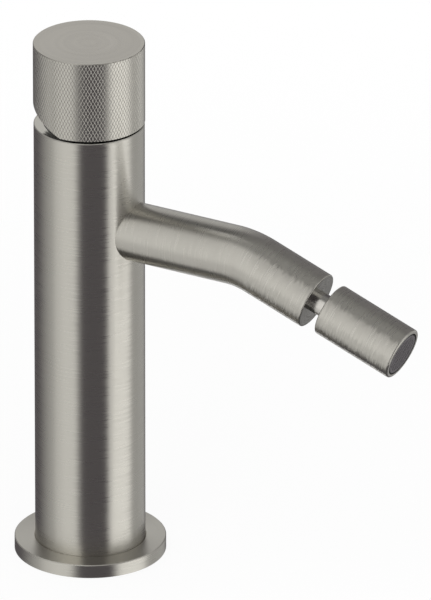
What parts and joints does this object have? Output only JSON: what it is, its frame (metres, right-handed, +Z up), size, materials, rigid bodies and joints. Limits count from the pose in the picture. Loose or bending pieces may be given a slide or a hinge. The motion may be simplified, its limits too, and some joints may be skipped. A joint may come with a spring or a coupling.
{
  "type": "bidet mixer",
  "caption": "Deck-mounted column bidet mixer with a knurled tipping knob, a short bent spout and a swivelling cylindrical nozzle on a ball joint.",
  "frame": {"origin": "centre of the base flange's underside, on the surface that the mixer stands on", "axes": "+Z up along the column, +X from the column along the level run of the spout, +Y to the left of the spout as seen from behind the column"},
  "size_m": [0.1601, 0.055, 0.1993],
  "materials": {
    "brushed_steel": "satin",
    "knurled_steel": "satin",
    "turned_steel": "satin",
    "plain_steel": "satin",
    "brass": "satin",
    "acetal": "satin",
    "slippery_plastic": "satin",
    "alumina": "satin",
    "rubber": "matte",
    "black_plastic": "matte",
    "screen_steel": "satin"
  },
  "bodies": {
    "tap_body": {"base_flange": "brushed_steel", "base_gasket": "rubber", "column_tube": "brushed_steel", "foot_block": "brass", "hot_riser": "plain_steel", "cold_riser": "plain_steel", "riser_o_rings": "rubber", "valve_body": "brass", "valve_body_o_rings": "rubber", "spout_tube": "brushed_steel", "spout_end": "brushed_steel", "cartridge_base": "acetal", "seat_seals": "rubber", "disc_seals": "rubber", "fixed_disc": "alumina", "cartridge_housing": "acetal", "cartridge_nut": "brass", "trim_ring": "black_plastic"},
    "turning_guide": {"lever_guide": "acetal", "pivot_pin": "plain_steel"},
    "tipping_knob": {"lever": "plain_steel", "lever_adapter": "acetal", "knob": "knurled_steel", "grub_screw": "plain_steel"},
    "sliding_disc": {"disc_carrier": "acetal", "moving_disc": "alumina"},
    "turning_stud": {"ball_stud": "turned_steel", "stud_o_ring": "rubber", "stud_circlip": "plain_steel"},
    "nozzle": {"nozzle_shell": "brushed_steel", "ball_seat": "slippery_plastic", "seat_o_ring": "rubber", "ball_retainer": "brass", "aerator_washer": "rubber", "aerator_housing": "black_plastic", "aerator_diffuser": "acetal", "aerator_screen": "screen_steel"}
  },
  "joints": [
    {"name": "temperature_turn", "type": "hinge", "parent": "tap_body", "child": "turning_guide", "pos_m": [0, 0, 0.16335], "axis": [0, 0, 1], "range_deg": [-50, 50]},
    {"name": "flow_tilt", "type": "hinge", "parent": "turning_guide", "child": "tipping_knob", "pos_m": [0, 0, 0.16335], "axis": [0, -1, 0], "range_deg": [0, 22]},
    {"name": "disc_slide", "type": "slide", "parent": "turning_guide", "child": "sliding_disc", "axis": [1, 0, 0], "range_m": [0, 0.00315]},
    {"name": "nozzle_turn", "type": "hinge", "parent": "tap_body", "child": "turning_stud", "pos_m": [0.10607, 0, 0.11431], "axis": [0.9391, 0, -0.3437], "continuous": true},
    {"name": "nozzle_tilt", "type": "hinge", "parent": "turning_stud", "child": "nozzle", "pos_m": [0.10607, 0, 0.11431], "axis": [0, 1, 0], "range_deg": [-20, 20]}
  ],
  "couplings": [
    {"joint": "disc_slide", "follows": "flow_tilt", "m_per_rad": 0.0082}
  ]
}
